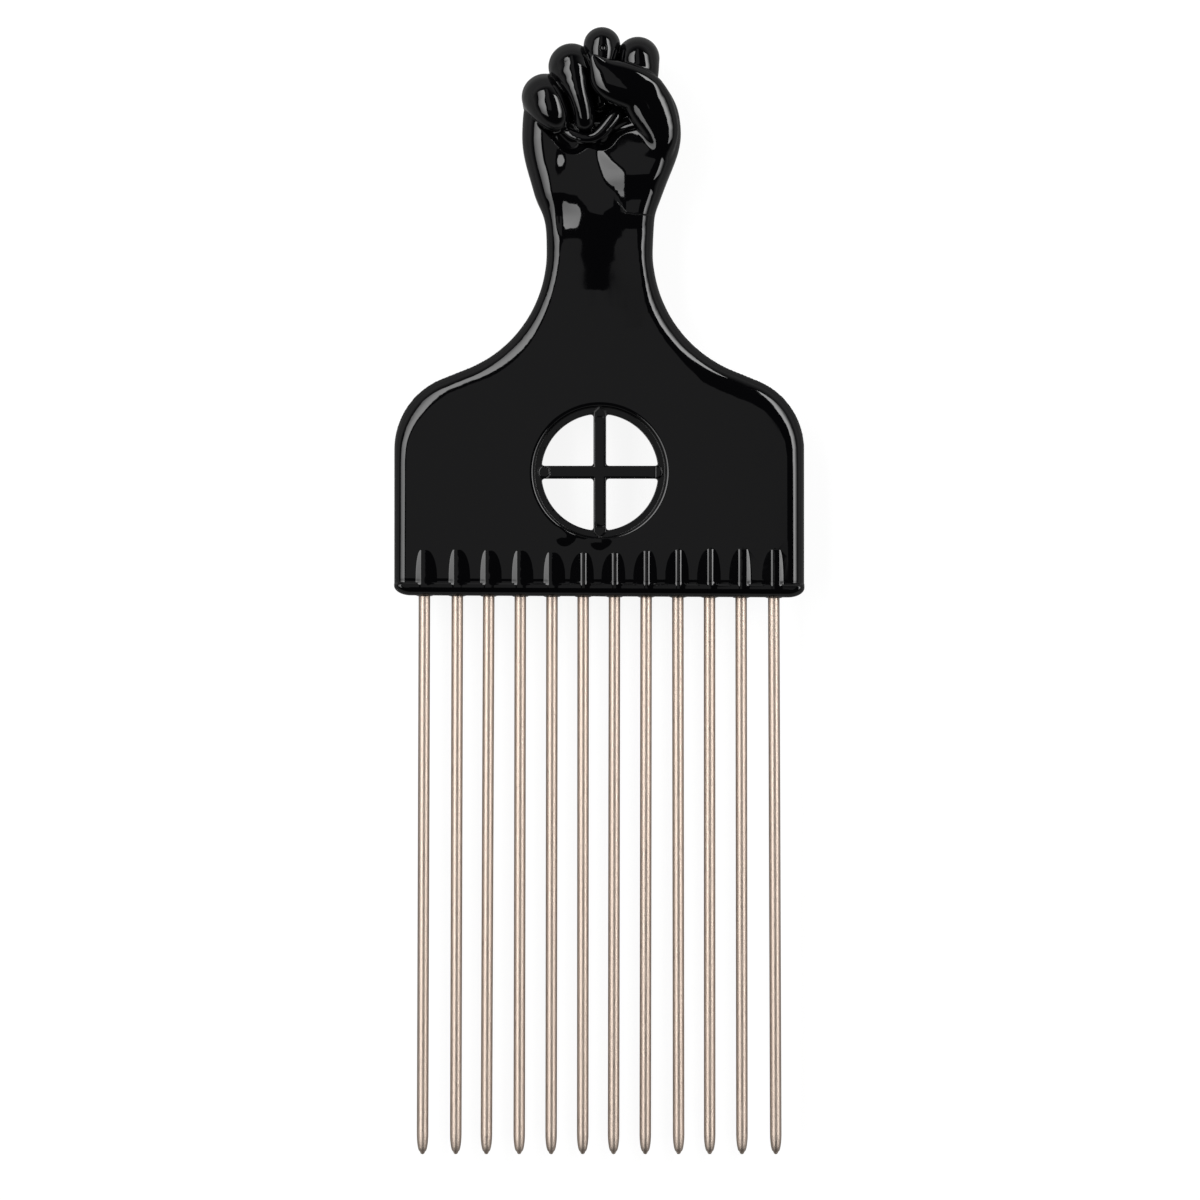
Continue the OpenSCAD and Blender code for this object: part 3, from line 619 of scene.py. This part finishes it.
xs = np.arange(*grid["xEnds"], grid["x"]) + grid["shift"][0]
ys = np.concatenate([np.arange(grid["yEnds"][0], grid["fistFrom"], grid["yPlate"]),
                     np.arange(grid["fistFrom"], grid["yEnds"][1], grid["yFist"])]) + grid["shift"][1]
zs = np.arange(*grid["zEnds"], grid["z"]) + grid["shift"][2]
points, faces = skinOf(handleField, xs, ys, zs)
say("handle skin: %d points, %d faces" % (len(points), len(faces)))
points, _ = settle(handleField, points, rounds=1)
mesh = makeMesh("pick_handle", points, faces)
for zone, cuts in ((ridgeZone, 2), (ringZone, 2), (fistZone, 1)):
    refine(mesh, zone, cuts)
points, _ = settle(handleField, pointsOf(mesh))
mesh.vertices.foreach_set("co", ((points + datum) * 0.001).astype(np.float32).ravel())
mesh.update()
say("refined to %d points" % len(points))
handle = bpy.data.objects.new("pick_handle", mesh)
bpy.context.scene.collection.objects.link(handle)
thin = handle.modifiers.new("thin", "DECIMATE")
thin.ratio = grid["triangles"] / sum(len(p.vertices) - 2 for p in mesh.polygons)
view = bpy.context.evaluated_depsgraph_get()
mesh = bpy.data.meshes.new_from_object(handle.evaluated_get(view))
handle.modifiers.clear()
handle.data = mesh
mesh.name = "pick_handle"
kept, normals = settle(handleField, pointsOf(mesh), rounds=1, furthest=0.03)
mesh.vertices.foreach_set("co", ((kept + datum) * 0.001).astype(np.float32).ravel())
mesh.polygons.foreach_set("use_smooth", np.ones(len(mesh.polygons), bool))
mesh.update()
# A corner of a large flat face takes the mean direction of its faces, weighted by their areas, so
# that the lean of a ridge or rim beside it isn't spread over the whole face
area, facing = np.empty(len(mesh.polygons)), np.empty(len(mesh.polygons) * 3)
total, corner = np.empty(len(mesh.polygons), np.int32), np.empty(len(mesh.loops), np.int32)
mesh.polygons.foreach_get("area", area)
mesh.polygons.foreach_get("normal", facing)
mesh.polygons.foreach_get("loop_total", total)
mesh.loops.foreach_get("vertex_index", corner)
faceOf = np.repeat(np.arange(len(total)), total)
largest, mean = np.zeros(len(normals)), np.zeros((len(normals), 3))
np.maximum.at(largest, corner, area[faceOf])
np.add.at(mean, corner, (facing.reshape(-1, 3) * area[:, None])[faceOf])
flat = largest > grid["largeFace"]
normals[flat] = mean[flat] / np.linalg.norm(mean[flat], axis=1)[:, None]
mesh.normals_split_custom_set_from_vertices([tuple(n) for n in normals])
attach(handle, "root")
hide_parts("handle")
say("handle thinned to %d triangles" % sum(len(p.vertices) - 2 for p in mesh.polygons))


# One function adds a shader node with its settings and links
def addNode(tree, kind, settings=None, links=None):
    node = tree.nodes.new(kind)
    for key, value in (settings or {}).items():
        if isinstance(key, str) and hasattr(node, key):
            setattr(node, key, value)
        else:
            node.inputs[key].default_value = value
    for key, source in (links or {}).items():
        tree.links.new(source, node.inputs[key])
    return node


def linear(hexColour):
    c = np.array([int(hexColour[i:i + 2], 16) / 255 for i in (1, 3, 5)])
    return tuple(np.where(c <= 0.04045, c / 12.92, ((c + 0.055) / 1.055) ** 2.4)) + (1.0,)


def newMaterial(name):
    material = bpy.data.materials.new(name)
    material.use_nodes = True
    material.node_tree.nodes.clear()
    return material, material.node_tree


# Injection-moulded polystyrene from a polished mould: nearly black, glassy, with the faint waviness
# that a cooling skin leaves, which breaks the edges of the reflections a little
glossPlastic, tree = newMaterial("gloss_polystyrene")
place = addNode(tree, "ShaderNodeTexCoord").outputs["Object"]
waves = addNode(tree, "ShaderNodeTexNoise", {"Scale": 160, "Detail": 1.0}, {"Vector": place})
flow = addNode(tree, "ShaderNodeTexNoise", {"Scale": 45, "Detail": 3.0}, {"Vector": place})
haze = addNode(tree, "ShaderNodeMapRange", {1: 0.3, 2: 0.7, 3: 0.045, 4: 0.075}, {0: flow.outputs["Fac"]})
tint = addNode(tree, "ShaderNodeMix", {"data_type": "RGBA"}, {0: flow.outputs["Fac"]})
tint.inputs[6].default_value, tint.inputs[7].default_value = linear("#030304"), linear("#050506")
bump = addNode(tree, "ShaderNodeBump", {"Strength": 0.01, "Distance": 0.001},
               {"Height": waves.outputs["Fac"]})
skin = addNode(tree, "ShaderNodeBsdfPrincipled", {"IOR": 1.5},
               {"Base Color": tint.outputs[2], "Roughness": haze.outputs[0], "Normal": bump.outputs[0]})
addNode(tree, "ShaderNodeOutputMaterial", None, {"Surface": skin.outputs[0]})
handle.data.materials.clear()
handle.data.materials.append(glossPlastic)

# Drawn steel wire, nickel plated and polished: a warm grey metal whose drawing marks spread a
# highlight along the wire's girth
nickelWire, tree = newMaterial("nickel_plated_wire")
place = addNode(tree, "ShaderNodeTexCoord").outputs["Object"]
stretch = addNode(tree, "ShaderNodeMapping", {"Scale": (1, 0.02, 1)}, {"Vector": place})
marks = addNode(tree, "ShaderNodeTexNoise", {"Scale": 4000, "Detail": 2.0}, {"Vector": stretch.outputs[0]})
dull = addNode(tree, "ShaderNodeTexNoise", {"Scale": 300, "Detail": 3.0}, {"Vector": place})
rough = addNode(tree, "ShaderNodeMapRange", {1: 0.3, 2: 0.7, 3: 0.42, 4: 0.48}, {0: dull.outputs["Fac"]})
bump = addNode(tree, "ShaderNodeBump", {"Strength": 0.04, "Distance": 0.00005},
               {"Height": marks.outputs["Fac"]})
tone = addNode(tree, "ShaderNodeMix", {"data_type": "RGBA"}, {0: dull.outputs["Fac"]})
tone.inputs[6].default_value, tone.inputs[7].default_value = linear("#c6b6a9"), linear("#d0c0b3")
metal = addNode(tree, "ShaderNodeBsdfPrincipled", {"Metallic": 1.0},
                {"Base Color": tone.outputs[2], "Roughness": rough.outputs[0], "Normal": bump.outputs[0]})
addNode(tree, "ShaderNodeOutputMaterial", None, {"Surface": metal.outputs[0]})

# Wires: the radius is a function of the length from the tip, turned round the wire's own axis
wire = {
    "radius": 1.0, "reach": 96.649, "root": 6.0, "point": 3.6, "tip": 0.4,
    # points round and along the wire, and the space that keeps the point's last row off the shaft's first
    "around": 48, "along": 40, "gap": 0.02,
    # how far each tip stands to the right of its root
    "lean": (-0.33, -0.28, -0.42, -0.2, -0.15, -0.08, -0.16, -0.15, 0.14, 0.03, 0.15, 0.36),
}
tipY, tip = -wire["reach"], wire["tip"]
# The blunt tip is a quarter circle, the ground point a quarter ellipse and the shaft a straight line:
# r = tip sin(t), y = tip (1 - cos(t)), then r = tip + (radius - tip) sqrt(1 - (1 - s)^2)
arcT = np.linspace(0, 1, 7) * np.pi / 2
dome = np.stack([tip * np.sin(arcT), tipY + tip * (1 - np.cos(arcT))], 1)
flankT = np.linspace(0, 1, 13)[1:]
flank = np.stack([tip + (wire["radius"] - tip) * np.sqrt(1 - (1 - flankT) ** 2),
                  tipY + tip + flankT * (wire["point"] - tip)], 1)
shaftY = np.linspace(tipY + wire["point"] + wire["gap"], wire["root"], wire["along"])
shaft = np.stack([np.full(wire["along"], wire["radius"]), shaftY], 1)
profile = np.concatenate([dome, flank, shaft, [[0, wire["root"]]]])
turn = np.linspace(0, 2 * np.pi, wire["around"], endpoint=False)
for i, (x0, lean) in enumerate(zip(ridges["places"], wire["lean"])):
    r, y = profile[1:-1, 0], profile[1:-1, 1]
    ring = np.stack([x0 + lean * (-y[:, None] / wire["reach"]).clip(0) + r[:, None] * np.cos(turn),
                     np.broadcast_to(y[:, None], (len(y), len(turn))), r[:, None] * np.sin(turn)], -1)
    ends = np.array([[x0 + lean, tipY, 0], [x0, wire["root"], 0]])
    n, m = len(y), len(turn)
    a = np.arange(n - 1)[:, None] * m + np.arange(m)
    b = np.arange(n - 1)[:, None] * m + (np.arange(m) + 1) % m
    walls = np.stack([a, a + m, b + m, b], -1).reshape(-1, 4)
    first, last = np.arange(m), (n - 1) * m + np.arange(m)
    capA = np.stack([np.full(m, n * m), first, (first + 1) % m], 1)
    capB = np.stack([np.full(m, n * m + 1), (n - 1) * m + (np.arange(m) + 1) % m, last], 1)
    mesh = bpy.data.meshes.new("wire_%02d" % (i + 1))
    allPoints = np.concatenate([ring.reshape(-1, 3), ends]) + datum
    mesh.from_pydata((allPoints * 0.001).tolist(), [], walls.tolist() + capA.tolist() + capB.tolist())
    mesh.polygons.foreach_set("use_smooth", np.ones(len(mesh.polygons), bool))
    thing = bpy.data.objects.new("wire_%02d" % (i + 1), mesh)
    bpy.context.scene.collection.objects.link(thing)
    thing.data.materials.append(nickelWire)
    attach(thing, "root")
    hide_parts("tine_%02d" % (i + 1))
say("wires made")

# Stage: a white floor that keeps the shadow, two tall softboxes and a dim card over the camera
stage = {
    # the floor: its size, how white it looks to the camera, the share of that in reflections, and
    # how much of the lamps' light it sends back
    "floorSize": 12.0, "lift": 0.9, "mirrored": 0.12, "albedo": 0.15,
    # the camera: its place, its height over the middle plane, the width in view and the sensor's
    "cameraX": 0.000125, "cameraY": -0.001533, "camera": 1.0, "frameWidth": 0.2078, "sensor": 36.0,
    # the softboxes' lower ends: where they start and stop growing to the whole, and what is left
    "lowerEnd": (0.07, 0.4, 0.55),
    # the surroundings: height and brightness near the horizon and overhead
    "horizon": (0.1, 0.35), "overhead": (0.4, 0.012),
}
mesh = bpy.data.meshes.new("floor")
h = stage["floorSize"] / 2
mesh.from_pydata([(-h, -h, 0), (h, -h, 0), (h, h, 0), (-h, h, 0)], [], [(0, 1, 2, 3)])
floor = bpy.data.objects.new("floor", mesh)
bpy.context.scene.collection.objects.link(floor)
paper, tree = newMaterial("white_paper")
path = addNode(tree, "ShaderNodeLightPath")
mirrored = addNode(tree, "ShaderNodeMath", {"operation": "ADD"},
                   {0: path.outputs["Is Glossy Ray"], 1: path.outputs["Is Transmission Ray"]})
seen = addNode(tree, "ShaderNodeMath", {"operation": "MULTIPLY_ADD", "use_clamp": True, 1: stage["mirrored"]},
               {0: mirrored.outputs[0], 2: path.outputs["Is Camera Ray"]})
lift = addNode(tree, "ShaderNodeMath", {"operation": "MULTIPLY", 1: stage["lift"]}, {0: seen.outputs[0]})
glow = addNode(tree, "ShaderNodeEmission", {"Color": (1, 1, 1, 1)}, {"Strength": lift.outputs[0]})
matt = addNode(tree, "ShaderNodeBsdfDiffuse", {"Color": (stage["albedo"],) * 3 + (1,)})
both = addNode(tree, "ShaderNodeAddShader", None, {0: glow.outputs[0], 1: matt.outputs[0]})
addNode(tree, "ShaderNodeOutputMaterial", None, {"Surface": both.outputs[0]})
mesh.materials.append(paper)

# x from and to, y from and to, height in metres; brightness (1 is white paper); the share that is
# left at the outer side and the parts of the width where it starts and stops growing to the whole
softboxes = {
    "left_box": (-0.88, -0.243, -0.35, 1.0, 0.507, 5.5, (0.45, 0.0, 1.0)),
    "right_box": (0.455, 1.155, -0.35, 1.0, 0.507, 7.5, (0.15, 0.86, 0.14)),
    "camera_card": (-0.31, 0.078, -0.1, 2.6, 1.1, 0.25, None),
}
for name, (x0, x1, y0, y1, z, bright, fade) in softboxes.items():
    lamp = bpy.data.lights.new(name, "AREA")
    lamp.shape = "RECTANGLE"
    lamp.size, lamp.size_y = x1 - x0, y1 - y0
    lamp.energy = bright * np.pi * lamp.size * lamp.size_y
    if fade:
        lamp.use_nodes = True
        tree = lamp.node_tree
        tree.nodes.clear()
        spot = addNode(tree, "ShaderNodeNewGeometry").outputs["Parametric"]
        parts = addNode(tree, "ShaderNodeSeparateXYZ", None, {0: spot})
        left, start, stop = fade
        sideways = addNode(tree, "ShaderNodeMapRange", {"interpolation_type": "SMOOTHSTEP",
                                                        1: start, 2: stop, 3: left, 4: 1.0},
                           {0: parts.outputs[0]})
        start, stop, left = stage["lowerEnd"]
        upwards = addNode(tree, "ShaderNodeMapRange", {"interpolation_type": "SMOOTHSTEP",
                                                       1: start, 2: stop, 3: left, 4: 1.0},
                          {0: parts.outputs[1]})
        level = addNode(tree, "ShaderNodeMath", {"operation": "MULTIPLY"},
                        {0: sideways.outputs[0], 1: upwards.outputs[0]})
        shine = addNode(tree, "ShaderNodeEmission", None, {"Strength": level.outputs[0]})
        addNode(tree, "ShaderNodeOutputLight", None, {"Surface": shine.outputs[0]})
    box = bpy.data.objects.new(name, lamp)
    box.location = ((x0 + x1) / 2, (y0 + y1) / 2, z)
    box.visible_camera = False
    bpy.context.scene.collection.objects.link(box)

world = bpy.data.worlds.new("studio")
bpy.context.scene.world = world
world.use_nodes = True
tree = world.node_tree
tree.nodes.clear()
direction = addNode(tree, "ShaderNodeTexCoord").outputs["Generated"]
parts = addNode(tree, "ShaderNodeSeparateXYZ", None, {0: direction})
fade = addNode(tree, "ShaderNodeValToRGB", None, {0: parts.outputs["Z"]})
for stop, (height, bright) in zip(fade.color_ramp.elements, (stage["horizon"], stage["overhead"])):
    stop.position, stop.color = height, (bright, bright, bright, 1)
sky = addNode(tree, "ShaderNodeBackground", {"Strength": 1.0}, {"Color": fade.outputs[0]})
addNode(tree, "ShaderNodeOutputWorld", None, {"Surface": sky.outputs[0]})

lens = bpy.data.cameras.new("camera")
lens.sensor_width = stage["sensor"]
lens.lens = stage["sensor"] * stage["camera"] / stage["frameWidth"]
camera = bpy.data.objects.new("camera", lens)
camera.location = (stage["cameraX"], stage["cameraY"], datum[2] * 0.001 + stage["camera"])
bpy.context.scene.collection.objects.link(camera)
bpy.context.scene.camera = camera
bpy.context.scene.view_settings.view_transform = "Standard"
say("stage set")
